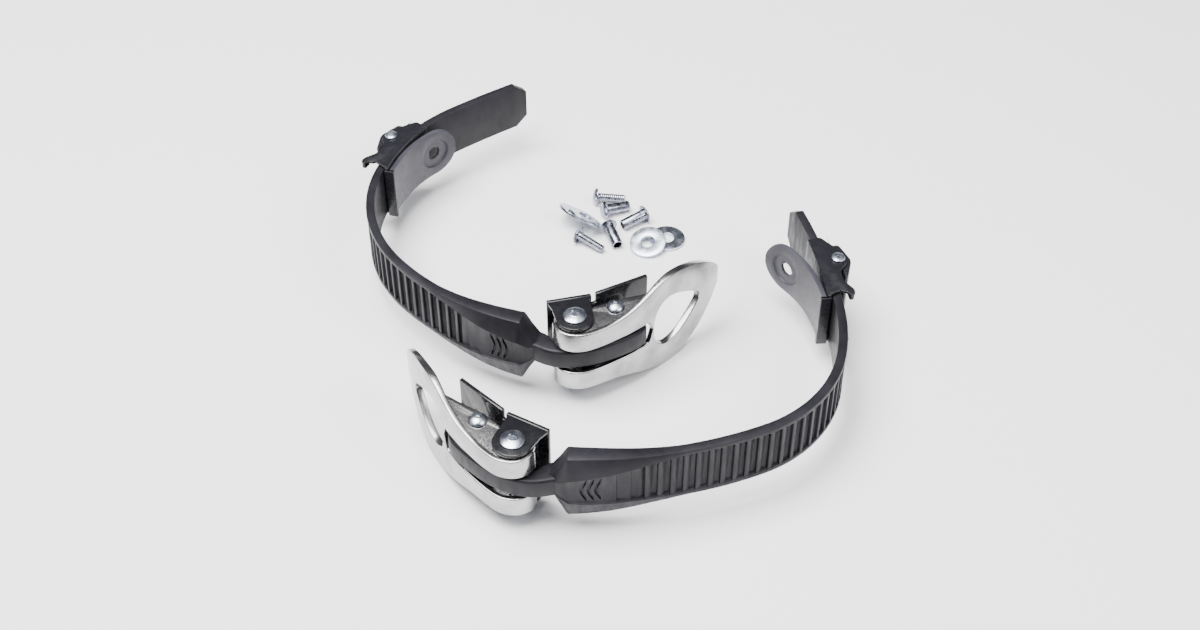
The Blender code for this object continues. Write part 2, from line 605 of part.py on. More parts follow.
def main():
    for obj in list(bpy.data.objects):
        bpy.data.objects.remove(obj)
    for name, side in SIDES.items():
        x, y, turn = side["at"]
        stand = bpy.data.objects.new(name, None)
        bpy.context.scene.collection.objects.link(stand)
        stand.location = Vector((x - CENTRE[0], y - CENTRE[1], MID_HEIGHT)) * MM
        stand.rotation_euler = (0.0, math.radians(side["over"]), math.radians(turn))
        for piece, (mesh, material, axis) in unit_pieces(side).items():
            origin = Vector((axis[0], axis[1], 0.0)) * MM
            mesh.transform(Matrix.Translation(-origin))
            add("%s_%s" % (name, piece), mesh, material, stand).location = origin

    for k, (at, heading, lean) in enumerate(WASHERS):
        half = WASHER["thick"] / 2
        obj = add("washer_%d" % (k + 1), ring(WASHER["outer"], WASHER["inner"], -half, half), "zinc")
        obj.location = Vector((at[0] - CENTRE[0], at[1] - CENTRE[1], at[2])) * MM
        obj.rotation_euler = (0.0, math.radians(-lean), math.radians(heading))
    for k, (at, heading) in enumerate(SCREWS):
        lay("loose_screw_%d" % (k + 1), screw(), at, heading,
            SCREW["head"], SCREW["radius"], SCREW["length"])
    for k, (at, heading) in enumerate(SLEEVES):
        lay("sleeve_nut_%d" % (k + 1), sleeve(), at, heading,
            SLEEVE["head"], SLEEVE["radius"], SLEEVE["length"])


main()
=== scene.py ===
"""Looks for the pair of ratchet ladder buckle straps and their loose fixings.

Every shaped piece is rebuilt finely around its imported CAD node.  The drawing
plane is the same as the part's: millimetres, origin on the base pin, x towards
the finger loop, y towards the boot, z from the strap's mid-plane.  Where each
strap lies is read from the frame's hinges.
"""
import json
import math

import bmesh
import bpy
from mathutils import Matrix, Vector


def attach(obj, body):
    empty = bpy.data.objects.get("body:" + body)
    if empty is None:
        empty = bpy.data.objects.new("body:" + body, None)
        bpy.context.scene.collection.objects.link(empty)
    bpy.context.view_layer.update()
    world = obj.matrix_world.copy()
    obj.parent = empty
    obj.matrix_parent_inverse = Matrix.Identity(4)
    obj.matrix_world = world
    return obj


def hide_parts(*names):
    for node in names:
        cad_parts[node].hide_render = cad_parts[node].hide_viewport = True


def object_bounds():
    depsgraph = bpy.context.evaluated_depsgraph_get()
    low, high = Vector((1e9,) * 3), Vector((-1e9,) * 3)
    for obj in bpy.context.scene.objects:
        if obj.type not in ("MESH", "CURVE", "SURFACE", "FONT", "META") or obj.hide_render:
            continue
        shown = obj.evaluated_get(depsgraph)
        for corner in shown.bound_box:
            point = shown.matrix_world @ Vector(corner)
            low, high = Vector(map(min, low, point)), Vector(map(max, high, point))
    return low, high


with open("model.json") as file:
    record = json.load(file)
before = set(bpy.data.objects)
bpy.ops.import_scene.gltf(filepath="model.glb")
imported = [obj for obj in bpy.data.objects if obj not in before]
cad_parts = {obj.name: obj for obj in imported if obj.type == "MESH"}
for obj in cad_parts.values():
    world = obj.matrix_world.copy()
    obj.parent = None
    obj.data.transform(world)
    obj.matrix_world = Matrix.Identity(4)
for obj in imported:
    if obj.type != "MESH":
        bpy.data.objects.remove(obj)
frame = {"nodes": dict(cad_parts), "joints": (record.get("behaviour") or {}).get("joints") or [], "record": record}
cad_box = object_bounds()
MM = 0.001
JOINTS = {joint["name"]: joint for joint in frame["joints"]}

# ---- driving sizes (mm, degrees), as in the part except where finer ------------
STRAP_START = (-19.4, 5.6)
SIDES = {
    "left": dict(heading=160.1, adjust=150.4,
                 arcs=((66.0, 109.6), (65.0, 68.5), (52.0, 82.0), (40.0, 400.0))),
    "right": dict(heading=163.5, adjust=181.6,
                  arcs=((76.4, 160.0), (53.0, 56.3), (29.0, 97.0), (64.0, 320.0))),
}
STRAP_THICK = 3.9
HALF_FRONT, HALF_TAIL = 12.5, 11.6
RAIL = 2.1
TOOTH_PITCH, TOOTH_DEPTH = 4.9, 1.4
TEETH_FROM, TEETH_TO = 28.6, 210.0
TAIL_CLIP = 6.0
SHOULDER_WIDTH = ((0.6, 15.5), (7.0, 15.3), (16.0, 14.7), (31.0, 13.3), (42.0, HALF_FRONT))
SHOULDER_EDGE = ((0.6, 7.2), (16.0, 6.2), (31.0, 4.8), (46.0, STRAP_THICK))
SHOULDER_MID = ((0.6, 9.8), (7.0, 9.4), (16.0, 8.2), (31.0, 5.6), (46.0, STRAP_THICK))
SHOULDER_RAIL = ((0.6, 9.4), (7.0, 8.4), (16.0, 6.8), (31.0, 3.6), (42.0, RAIL))
PANEL = ((0.6, 9.0), (7.0, 8.4), (17.9, 7.1), (18.2, 6.2), (23.3, 5.8), (23.6, 4.9))
CHEVRONS = (4.6, 7.2, 9.8)
CHEVRON_HALF, CHEVRON_RAKE, CHEVRON_WIDE = 5.7, 2.2, 1.5
TONGUE_HALF = 4.7
TONGUE_OUTER = ((-22.0, -1.0), (-17.4, -2.9), (-13.4, -5.3), (-9.5, -7.0), (-5.5, -7.8),
                (-1.3, -8.0), (3.4, -7.6), (7.9, -6.6), (12.6, -5.0), (17.1, -3.1),
                (22.0, -0.7), (26.4, 2.0), (28.8, 4.4))
TONGUE_INNER = ((29.6, 6.4), (28.4, 8.4), (25.0, 9.4), (21.6, 10.8), (19.0, 12.0), (16.4, 12.2),
                (13.4, 11.0), (11.6, 8.4), (10.8, 5.2), (9.0, 1.2), (6.0, -2.2),
                (2.4, -3.7), (-2.4, -3.8), (-6.0, -2.8), (-8.8, -0.2), (-10.8, 3.2),
                (-14.2, 5.4), (-22.0, 7.0))
CORNER_EASE, LIP_EASE = 0.5, 0.35  # rounding of the strap's edges and rail lips
DEEP_FLOOR = 0.5                   # a floor deeper than this gets a rounded lip
# the shoulder's end: station, half width, inner face, edge, middle, floor, lip
SHOULDER_NOSE = ((-7.6, 4.2, -1.0, 4.2, 5.6, 5.4, 2.2), (-5.4, 5.2, -1.0, 5.2, 7.0, 6.8, 2.6),
                 (-2.4, 10.2, -0.4, 6.6, 9.0, 8.7, 4.2), (-0.2, 14.6, 0.0, 7.1, 9.6, 9.0, 5.6))
PANEL_STATIONS = (18.0, 18.2, 20.0, 21.8, 23.3, 23.4, 23.6, 25.0, 26.6)
# one tooth: distance past its crest, share of the tooth's depth
TOOTH = ((-0.42, 1.0), (-0.32, 0.96), (-0.10, 0.10), (0.05, 0.02), (0.30, 0.0), (1.10, 0.06),
         (1.6, 0.22), (2.3, 0.60), (2.9, 0.93), (3.3, 1.0))
CREST_SUNK = ((TEETH_FROM, 0.5), (46.0, 0.0))
STRAP_PIN_AT = (16.8, 6.6)
LEVER_LINE = ((-9.2, -0.4), (-8.5, -3.8), (-6.6, -6.6), (-3.4, -8.7), (0.4, -9.5), (4.5, -9.1),
              (10.5, -6.7), (17.1, -3.1), (23.0, 0.4), (28.8, 4.7), (34.2, 9.4), (39.5, 14.0),
              (45.0, 18.9), (50.2, 24.4), (54.5, 29.4), (58.3, 34.4), (61.8, 39.6), (64.0, 43.2))
LEVER_THICKNESS = ((50.0, 2.2), (60.0, 3.0), (99.0, 3.0))
LEVER_HALF = ((0, 14.6), (1, 15.2), (27, 15.35), (33, 16.0), (40, 17.8), (47, 20.3), (54, 22.9),
              (61, 24.3), (68, 23.8), (76, 20.9), (82.5, 17.4), (88, 13.4), (92, 10.2), (95, 7.4),
              (97, 4.8), (98.3, 2.6), (98.8, 1.2), (99.0, 0.5))
LEVER_STATIONS = (48.6, 49.2, 49.7, 50.0, 52.0), (95.0, 96.0, 96.6, 97.0, 97.3)
SLOT_HALF, SLOT_END, SLOT_CORNER = 5.9, 50.6, 2.5
LOOP_HALF = ((52.6, 0.0), (52.9, 4.8), (53.6, 7.2), (55.0, 9.7), (58.0, 12.0), (61.5, 12.6),
             (65.5, 11.8), (70.5, 9.4), (75.5, 6.2), (78.8, 3.7), (80.4, 2.2), (81.1, 1.2),
             (81.4, 0.0))
FLANGE_Z = (13.1, 15.15)
FLANGE_DEPTH = ((5.5, 9.0), (13, 13.4), (33, 13.2), (40, 12.2), (47, 9.8), (54, 6.4), (60, 3.4),
                (64, 1.8))
FLANGE_END = 64.0
FLANGE_NOSE = ((6.5, 4.6), (2.5, 4.9), (-2.5, 4.7), (-6.4, 3.8), (-8.2, 1.8))
BASE_LINE = ((-10.9, 8.5), (7.2, 11.7), (31.0, 22.4))
BASE_THICK, BASE_HALF = 1.6, 17.2
EAR_Z = (15.6, 17.1)
EAR_RADIUS = 7.8
EAR_ROOT = (-9.0, 5.0)
EAR_FROM, EAR_STEP, EAR_POINTS = 188, 5, 34
BASE_HOLE, BASE_HOLE_PAST = 5.4, 14.0  # the hole's width and its distance past the corner
NOTCH = (0.2, 2.4)                 # from and to, past the base's corner
NOTCH_Z = (12.5, 20.0)
BASE_PIN = dict(radius=2.5, head=4.8, dome=1.0, rim=0.5, z=17.35, recess=1.7)
STRAP_PIN = dict(radius=2.1, head=3.7, dome=1.5, rim=0.5, z=15.45, recess=0.9)
FRAME_FRONT, FRAME_BACK = -22.0, 14.0
FRAME_WALL_Z = (12.5, 13.8)
FRAME_FLOOR = (-1.9, -0.6)
FRAME_WALL = ((13.6, -1.4), (14.6, 3.4), (8.6, 7.0), (4.4, 10.4), (-3.0, 10.4), (-7.5, 6.4),
              (-14.0, 6.0), (-19.4, 8.9), (-22.2, 8.6), (-23.0, 6.4), (-20.6, 5.4), (-20.0, 3.0))
LIP = ((-0.9, -0.7), (0.6, -0.7), (0.6, -1.7), (0.1, -1.8), (0.1, -4.5), (0.9, -4.6), (0.9, -5.2),
       (-0.9, -5.1))
LIP_HALF = 12.9
HOOK = ((-22.6, 6.2), (-18.8, 6.2), (-18.8, 8.2), (-22.6, 8.2))
HOOK_Z, HOOK_HALF = 11.6, 1.1
PIVOT_OUT = 7.3
FINGER = ((-9.4, 8.0), (-9.2, 9.4), (-1.4, 12.8), (0.6, 13.1), (11.2, 10.3), (12.4, 9.2),
          (11.9, 8.0), (8.8, 6.2), (8.4, 4.4), (6.6, 4.4), (3.4, 6.2), (2.0, 4.8), (0.0, 4.6),
          (-2.2, 4.9), (-3.4, 7.4))
FINGER_HALF = 12.1
FINGER_CORNER, FINGER_CORNER_FROM = 4.2, 8.4
FINGER_CUT, FINGER_CUT_END, FINGER_CUT_Z = (7.0, 18.0), 14.0, 20
HUB_RADIUS = 2.7
CROSS_SIZE, CROSS_DEEP = 1.5, 0.8
ADJUST_PIN = dict(radius=1.5, head=2.9, dome=0.6, rim=0.5, z=13.95, recess=0.0)
TAB_THICK, TAB_HALF, TAB_LENGTH, TAB_RADIUS = 2.1, 11.8, 46.0, 52.0
TAB_HOLE, TAB_RING = 3.05, 7.2
TAB_ROOT = (12.0, 100.0)           # length and radius of the tab's first bend
TAB_DISH = ((0, 0.38), (TAB_RING - 2.2, 0.38), (TAB_RING - 1.2, 0.3), (TAB_RING - 0.4, 0.55),
            (TAB_RING, 1.05), (TAB_RING + 0.6, 2.6), (0, 2.6))
WASHER = dict(outer=8.3, inner=3.2, thick=1.2)
SCREW = dict(radius=1.8, head=4.0, length=13.5)
SLEEVE = dict(radius=2.5, head=4.1, length=12.0, bore=1.9)
WASHER_EASE = 0.22
SCREW_DOME = ((0, -1.9), (1.0, -1.86), (2.0, -1.7), (2.9, -1.4), (3.5, -1.0), (3.85, -0.6))
SCREW_TURNS, THREAD_DEEP, THREAD_FROM, THREAD_SHORT = 12, 0.22, 1.2, 2.0
SLEEVE_DOME = ((0, -1.5), (1.4, -1.48), (2.5, -1.38), (3.3, -1.15), (3.8, -0.8))
SHARP_ANGLE = 32                   # edges sharper than this keep a hard shade

# ---- camera: the photograph's angle -------------------------------------------
CAMERA_ELEVATION = 43.43
CAMERA_DISTANCE = 0.7
CAMERA_LENS, SENSOR_WIDTH = 48.53, 36.0
LOOK_AT = Vector((0.00091, -0.00809, 0.00575))

# ---- studio: metres and watts --------------------------------------------------
FLOOR_HALF, FLOOR_GAP = 4, 0.0002
SKY_FROM, SKY_TO, SKY_STRENGTH = 0.82, 0.97, 1.6
SKY_SIDES, SKY_TOP = (0.07, 0.07, 0.08), (1.0, 1.0, 1.0)
LAMPS = (("key", (-0.35, -0.1, 1.3), 1.0, 60.0), ("side", (0.9, -0.5, 1.0), 0.7, 12.0))


# ---- plan curves ----------------------------------------------------------------
def smooth(points, steps=8):
    """Catmull-Rom curve through plan points."""
    pts = [Vector(p) for p in points]
    pts = [2 * pts[0] - pts[1]] + pts + [2 * pts[-1] - pts[-2]]
    out = []
    for a, b, c, d in zip(pts, pts[1:], pts[2:], pts[3:]):
        for k in range(steps):
            t = k / steps
            out.append(0.5 * (2 * b + (c - a) * t + (2 * a - 5 * b + 4 * c - d) * t * t
                              + (3 * b - a - 3 * c + d) * t ** 3))
    return out + [pts[-2]]


def arcs(start, heading, pieces, step=0.5):
    """Arcs that turn clockwise, one after the other, as a dense plan line."""
    at, out = Vector(start), [Vector(start)]
    turn = math.radians(heading)
    for length, radius in pieces:
        count = int(length / step)
        for _ in range(count):
            turn -= length / count / radius / 2
            at = at + Vector((math.cos(turn), math.sin(turn))) * (length / count)
            turn -= length / count / radius / 2
            out.append(at.copy())
    return out


class Line:
    """A plan line measured by its length; `side` is +1 if outwards is to its left."""

    def __init__(self, points, side):
        self.points, self.side = points, side
        self.stations = [0.0]
        for a, b in zip(points, points[1:]):
            self.stations.append(self.stations[-1] + (b - a).length)
        self.length = self.stations[-1]

    def on(self, s):
        low, high = 0, len(self.stations) - 2
        while low < high:
            mid = (low + high + 1) // 2
            if self.stations[mid] <= s:
                low = mid
            else:
                high = mid - 1
        a, b = self.points[low], self.points[low + 1]
        return a + (b - a) * ((s - self.stations[low]) / (b - a).length)

    def heading(self, s):
        return (self.on(s + 0.8) - self.on(s - 0.8)).normalized()

    def at(self, s, out=0.0):
        way = self.heading(s)
        return self.on(s) + Vector((-way.y, way.x)) * (out * self.side)


def table(pairs, s):
    """Straight interpolation in a table of (station, value)."""
    if s <= pairs[0][0]:
        return pairs[0][1]
    for (a, va), (b, vb) in zip(pairs, pairs[1:]):
        if s <= b:
            return va + (vb - va) * (s - a) / (b - a)
    return pairs[-1][1]


def soft(pairs, s):
    """Like table(), but with a curve through the values."""
    keys = [p[0] for p in pairs]
    if s <= keys[0] or s >= keys[-1]:
        return table(pairs, s)
    k = max(i for i in range(len(keys) - 1) if keys[i] <= s)
    before, after = pairs[max(k - 1, 0)], pairs[min(k + 2, len(pairs) - 1)]
    (a, va), (b, vb) = pairs[k], pairs[k + 1]
    ma = (vb - before[1]) / (b - before[0]) * (b - a)
    mb = (after[1] - va) / (after[0] - a) * (b - a)
    t = (s - a) / (b - a)
    return (va * (2 * t ** 3 - 3 * t * t + 1) + ma * (t ** 3 - 2 * t * t + t)
            + vb * (3 * t * t - 2 * t ** 3) + mb * (t ** 3 - t * t))


def spread(start, end, step):
    """Even stations from start to end, both included."""
    count = max(1, round((end - start) / step))
    return [start + (end - start) * k / count for k in range(count + 1)]


LEVER = Line(smooth(LEVER_LINE), -1)


# ---- meshes -----------------------------------------------------------------------
def solid(rings, caps=True, closed=False):
    """Mesh over rings of equal length; caps are single faces."""
    bm = bmesh.new()
    rows = [[bm.verts.new(Vector(p) * MM) for p in ring] for ring in rings]
    pairs = list(zip(rows, rows[1:])) + ([(rows[-1], rows[0])] if closed else [])
    for a, b in pairs:
        for i in range(len(a)):
            j = (i + 1) % len(a)
            bm.faces.new((a[i], a[j], b[j], b[i]))
    if caps and not closed:
        bm.faces.new(rows[0])
        bm.faces.new(rows[-1])
    bmesh.ops.recalc_face_normals(bm, faces=bm.faces)
    return to_mesh(bm)


def to_mesh(bm, name="piece"):
    mesh = bpy.data.meshes.new(name)
    bm.to_mesh(mesh)
    bm.free()
    return mesh


def prism(outline, z0, z1):
    return solid([[(p[0], p[1], z) for p in outline] for z in (z0, z1)])


def eased_prism(outline, half, ease, steps=4):
    """Plan outline from -half to half with round long edges."""
    pts = [Vector(p) for p in outline]
    clean = [p for k, p in enumerate(pts) if (p - pts[k - 1]).length > 0.12]
    area = sum(a.x * b.y - b.x * a.y for a, b in zip(clean, clean[1:] + clean[:1]))
    sign = 1.0 if area > 0 else -1.0
    ways = [(clean[(k + 1) % len(clean)] - clean[k - 1]).normalized() for k in range(len(clean))]
    rings = []
    for top in (-1, 1):
        angles = [90.0 * k / steps for k in range(steps + 1)]
        for a in (angles if top < 0 else angles[::-1]):
            inset = ease * (1 - math.sin(math.radians(a)))
            z = top * (half - ease * (1 - math.cos(math.radians(a))))
            rings.append([(p.x - w.y * inset * sign, p.y + w.x * inset * sign, z)
                          for p, w in zip(clean, ways)])
    return solid(rings)


def ribbon(line, stations, half, out0, out1, gap=None):
    """Band along a plan line, split down its middle where `gap` is above zero."""
    bm = bmesh.new()
    gap = gap or (lambda s: 0.0)
    inner_face = out0 if callable(out0) else (lambda s: out0)
    rows = []
    for s in stations:
        a, b, h, g = line.at(s, inner_face(s)), line.at(s, out1), half(s), gap(s)

        def pair(z):
            return (bm.verts.new(Vector((a.x, a.y, z)) * MM),
                    bm.verts.new(Vector((b.x, b.y, z)) * MM))

        low, high = pair(-h), pair(h)
        inner = (pair(-g), pair(g)) if g > 0.05 else (pair(0.0),) * 2
        rows.append((low, inner[0], inner[1], high))
    for one, two in zip(rows, rows[1:]):
        for k in (0, 2):
            for side in (0, 1):
                bm.faces.new((one[k][side], one[k + 1][side], two[k + 1][side], two[k][side]))
        for k in (0, 3):
            bm.faces.new((one[k][0], one[k][1], two[k][1], two[k][0]))
        if one[1] is not one[2] or two[1] is not two[2]:
            for k in (1, 2):
                bm.faces.new((one[k][0], one[k][1], two[k][1], two[k][0]))
    for row in (rows[0], rows[-1]):
        for k in (0, 2):
            bm.faces.new((row[k][0], row[k + 1][0], row[k + 1][1], row[k][1]))
    bmesh.ops.recalc_face_normals(bm, faces=bm.faces)
    return to_mesh(bm)


def lathe(profile, segments=48):
    """Profile of (radius, z) turned about Z; it starts and ends on the axis."""
    bm = bmesh.new()
    rows = []
    for r, z in profile:
        if r < 0.001:
            rows.append([bm.verts.new(Vector((0, 0, z)) * MM)])
        else:
            rows.append([bm.verts.new(Vector((r * math.cos(2 * math.pi * k / segments),
                                              r * math.sin(2 * math.pi * k / segments), z)) * MM)
                         for k in range(segments)])
    for a, b in zip(rows, rows[1:]):
        for k in range(segments):
            j = (k + 1) % segments
            face = [a[k % len(a)], a[j % len(a)], b[j % len(b)], b[k % len(b)]]
            unique = [v for i, v in enumerate(face) if v not in face[:i]]
            if len(unique) > 2:
                bm.faces.new(unique)
    bmesh.ops.recalc_face_normals(bm, faces=bm.faces)
    return to_mesh(bm)


def moved(mesh, matrix):
    copy = mesh.copy()
    copy.transform(matrix)
    return copy


def at_point(mesh, x, y):
    return moved(mesh, Matrix.Translation(Vector((x, y, 0)) * MM))


def along(mesh, point, direction):
    """Stand a Z-aligned mesh at a plan point, pointing along a plan direction."""
    turn = Vector((direction[0], direction[1], 0)).to_track_quat("Z", "Y").to_matrix().to_4x4()
    return moved(mesh, Matrix.Translation(Vector((point[0], point[1], 0)) * MM) @ turn)


def cylinder(radius, z0, z1, segments=48):
    return lathe(((0, z0), (radius, z0), (radius, z1), (0, z1)), segments)


def evaluated(mesh, build):
    """The mesh after the modifiers that build(object) adds."""
    body = bpy.data.objects.new("body", mesh)
    bpy.context.scene.collection.objects.link(body)
    helpers = build(body) or []
    bpy.context.view_layer.update()
    graph = bpy.context.evaluated_depsgraph_get()
    result = bpy.data.meshes.new_from_object(body.evaluated_get(graph))
    for obj in helpers + [body]:
        bpy.data.objects.remove(obj)
    return result


def combine(base, others, operation):
    def build(body):
        tools = []
        for mesh in others:
            tool = bpy.data.objects.new("tool", mesh)
            bpy.context.scene.collection.objects.link(tool)
            step = body.modifiers.new("step", "BOOLEAN")
            step.operation, step.object, step.solver = operation, tool, "EXACT"
            tools.append(tool)
        return tools
    return evaluated(base, build)


def cut(base, *others):
    return combine(base, others, "DIFFERENCE")


def join(base, *others):
    return combine(base, others, "UNION")


def rounded(mesh, width, angle=35.0, segments=3):
    """Round the sharp edges."""
    def build(body):
        step = body.modifiers.new("round", "BEVEL")
        step.width, step.segments = width * MM, segments
        step.limit_method, step.angle_limit = "ANGLE", math.radians(angle)
        step.use_clamp_overlap = False
        step.miter_outer = "MITER_ARC"
    return evaluated(mesh, build)


def merged(*meshes):
    """Several closed shells as one mesh."""
    bm = bmesh.new()
    for mesh in meshes:
        bm.from_mesh(mesh)
    return to_mesh(bm)


# ---- the pieces of one strap ---------------------------------------------------------
def strap_ring(line, s, half, inner, edge, mid, floor, lip):
    """Ring of the ladder strap at station s, its corners rounded."""
    r = min(CORNER_EASE, half * 0.15)
    w = LIP_EASE
    deep = mid - floor > DEEP_FLOOR
    shape = [(-half + r, inner), (-half + r * 0.3, inner + r * 0.3), (-half, inner + r),
             (-half, edge - r), (-half + r * 0.3, edge - r * 0.3)]
    slope = (mid - edge) / max(half - lip, 0.1)
    shape += [(-half + r, edge + slope * r), (-lip - w, mid - slope * w),
              (-lip - w * 0.25, mid - 0.1 * w),
              (-lip + 0.05, mid - w * 0.7 if deep else mid - 0.02),
              (-lip + 0.3, floor + 0.12 if deep else floor), (-lip + 0.55, floor)]
    shape = shape + [(-z, n) for z, n in reversed(shape)]
    out = []
    for z, n in shape:
        p = line.at(s, n)
        out.append((p.x, p.y, z))
    return out


def ladder_strap(line):
    """Nose, shoulder panel, teeth and tail as rings; the tongue joined on, chevrons cut."""
    length = line.length
    rings = [strap_ring(line, *key) for key in SHOULDER_NOSE]
    panel = [(s, table(PANEL, s)) for s in spread(0.6, 17.9, 1.2) + list(PANEL_STATIONS)]
    for k in range(int((TEETH_TO - TEETH_FROM) / TOOTH_PITCH)):
        crest = TEETH_FROM + k * TOOTH_PITCH
        sunk = table(CREST_SUNK, crest)
        for ds, drop in TOOTH:
            s = crest + ds
            panel.append((s, table(SHOULDER_MID, s) - sunk - 0.1 - drop * (TOOTH_DEPTH - 0.1)))
    for s, floor in panel:
        half = table(SHOULDER_WIDTH + ((length, HALF_TAIL),), s)
        rings.append(strap_ring(line, s, half, 0.0, table(SHOULDER_EDGE, s),
                                table(SHOULDER_MID, s), floor, half - table(SHOULDER_RAIL, s)))
    clip = length - TAIL_CLIP
    for s in [clip - 1.5, clip] + spread(clip + 1.5, length - 0.2, 1.5):
        half = HALF_TAIL - max(0.0, s - clip) * 0.8
        rings.append(strap_ring(line, s, half, 0.0, STRAP_THICK, STRAP_THICK, STRAP_THICK - 0.1,
                                half - RAIL))
    strap = solid(rings)
    tongue = eased_prism(smooth(TONGUE_OUTER, 5) + smooth(TONGUE_INNER, 5), TONGUE_HALF, 1.3)
    strap = join(strap, tongue)
    tools = []
    for tip in CHEVRONS:
        floor = table(PANEL, tip + 1.0)
        rings = []
        for z in spread(-CHEVRON_HALF, CHEVRON_HALF, 0.8):
            t = abs(z) / CHEVRON_HALF
            s = tip + CHEVRON_RAKE * t ** 1.6
            wide = CHEVRON_WIDE * (1.0 if t < 0.85 else 0.6)
            a, b = line.at(s + 0.2, floor - 0.9), line.at(s, floor + 2.0)
            c, d = line.at(s + wide, floor + 2.0), line.at(s + wide - 0.2, floor - 0.9)
            rings.append([(p.x, p.y, z) for p in (a, b, c, d)])
        tools.append(solid(rings))
    return cut(strap, *tools)


def lever_plate():
    slot_end, tip = LEVER_STATIONS
    stations = sorted(set(spread(0.0, 48.0, 1.0) + list(slot_end) + [s for s, _ in LOOP_HALF]
                          + spread(57.5, 94.0, 1.0) + list(tip)))
    keep = [stations[0]]
    for s in stations[1:]:
        if s - keep[-1] > 0.25:
            keep.append(s)

    def gap(s):
        if s < SLOT_END:
            left = SLOT_END - s
            if left > SLOT_CORNER:
                return SLOT_HALF
            arc = math.sqrt(max(0.0, SLOT_CORNER ** 2 - (SLOT_CORNER - left) ** 2))
            return SLOT_HALF - SLOT_CORNER + arc
        if LOOP_HALF[0][0] < s < LOOP_HALF[-1][0]:
            return soft(LOOP_HALF, s)
        return 0.0

    return ribbon(LEVER, keep, lambda s: soft(LEVER_HALF, s),
                  lambda s: -table(LEVER_THICKNESS, s), 0.0, gap)


def lever():
    plate = rounded(lever_plate(), 0.55, 40.0, 4)
    outer = [LEVER.at(s, -0.9) for s in spread(0.0, FLANGE_END, 1.0)]
    inner = [LEVER.at(s, -soft(FLANGE_DEPTH, s))
             for s in reversed(spread(25.0, FLANGE_END, 1.5))]
    inner += smooth(FLANGE_NOSE, 4)
    shells = [plate]
    for z0, z1 in (FLANGE_Z, (-FLANGE_Z[1], -FLANGE_Z[0])):
        shells.append(rounded(prism(outer + inner, z0, z1), 0.4, 40.0, 3))
    return merged(*shells)


def buckle_base():
    line = Line([Vector(p) for p in BASE_LINE], +1)
    corner = (Vector(BASE_LINE[1]) - Vector(BASE_LINE[0])).length
    bend = [corner - 1.5, corner - 0.8, corner, corner + 0.8, corner + 1.5]
    plate = ribbon(line, [0.0] + bend + [line.length], lambda s: BASE_HALF, 0.0, BASE_THICK)
    near, far = corner + NOTCH[0], corner + NOTCH[1]
    notches = [prism([line.at(near, -2), line.at(far, -2), line.at(far, 4), line.at(near, 4)],
                     z0, z1)
               for z0, z1 in (NOTCH_Z, (-NOTCH_Z[1], -NOTCH_Z[0]))]
    left, right = line.at(0.0, 0.9), line.at(corner - 0.6, 0.9)
    front = [(EAR_RADIUS * math.cos(a), EAR_RADIUS * math.sin(a))
             for a in [math.radians(EAR_FROM + EAR_STEP * k) for k in range(EAR_POINTS)]]
    ear = [tuple(left), EAR_ROOT] + front + [tuple(right)]
    middle, way = line.at(corner + BASE_HOLE_PAST), line.heading(corner + BASE_HOLE_PAST)
    hole = along(cylinder(BASE_HOLE / 2, -6, 6), middle, (-way.y, way.x))
    plate = rounded(cut(plate, *notches, hole), 0.3, 40.0, 2)
    ears = [rounded(prism(ear, z0, z1), 0.35, 40.0, 3)
            for z0, z1 in (EAR_Z, (-EAR_Z[1], -EAR_Z[0]))]
    return merged(plate, *ears)


def head_profile(head, dome, rim, recess):
    """Domed head above z = 0, from the axis to its underside."""
    points = []
    if recess:
        points += [(0, rim + dome - 0.55), (recess * 0.85, rim + dome - 0.5),
                   (recess, rim + dome - 0.12), (recess + 0.12, rim + dome - 0.01)]
    else:
        points += [(0, rim + dome)]
    start = recess + 0.3 if recess else 0.3
    for k in range(11):
        r = start + (head - 0.12 - start) * k / 10
        points.append((r, rim + dome * (1 - (r / head) ** 2.6)))
    return points + [(head - 0.02, rim * 0.75), (head, rim * 0.5), (head, 0.12), (head - 0.12, 0)]


def pin(radius, head, dome, rim, z, recess, over):
    """Pin with a bore from below (over=False) or the screw that closes it (True)."""
    bore = radius * 0.62
    top = [(r, z + h) for r, h in head_profile(head, dome, rim, recess)]
    if not over:
        return lathe(top + [(radius, z), (radius, -z + 0.5), (bore, -z + 0.5), (bore, -2.0),
                            (0, -2.0)])
    shank = bore - 0.12
    return lathe([(r, -h) for r, h in top] + [(shank, -z), (shank, -3.0), (0, -3.0)])


def cross(mesh, z, size, deep):
    """Cross recess cut into a head whose top is at z."""
    arm = 0.28 * size
    tools = []
    for a in (0.0, 90.0):
        turn = Matrix.Rotation(math.radians(a + 20), 4, "Z")
        box = prism([(-size, -arm), (size, -arm), (size, arm), (-size, arm)], z - deep, z + 1.0)
        tools.append(moved(box, turn))
    return cut(mesh, *tools)


def adjuster_point(line, adjust, a, out):
    """Plan point of the adjuster: `a` towards the tail from its pivot."""
    origin, way = line.on(adjust), line.heading(adjust)
    return origin + way * a + Vector((-way.y, way.x)) * out


def corner_rounded(points, radius, steps=4):
    """Closed outline with each corner replaced by a small arc."""
    pts = [Vector(p) for p in points]
    out = []
    for k, p in enumerate(pts):
        a, b = pts[k - 1] - p, pts[(k + 1) % len(pts)] - p
        r = min(radius, a.length * 0.4, b.length * 0.4)
        start, end = p + a.normalized() * r, p + b.normalized() * r
        for i in range(steps + 1):
            t = i / steps
            out.append(start * (1 - t) ** 2 + p * (2 * t * (1 - t)) + end * t * t)
    return out


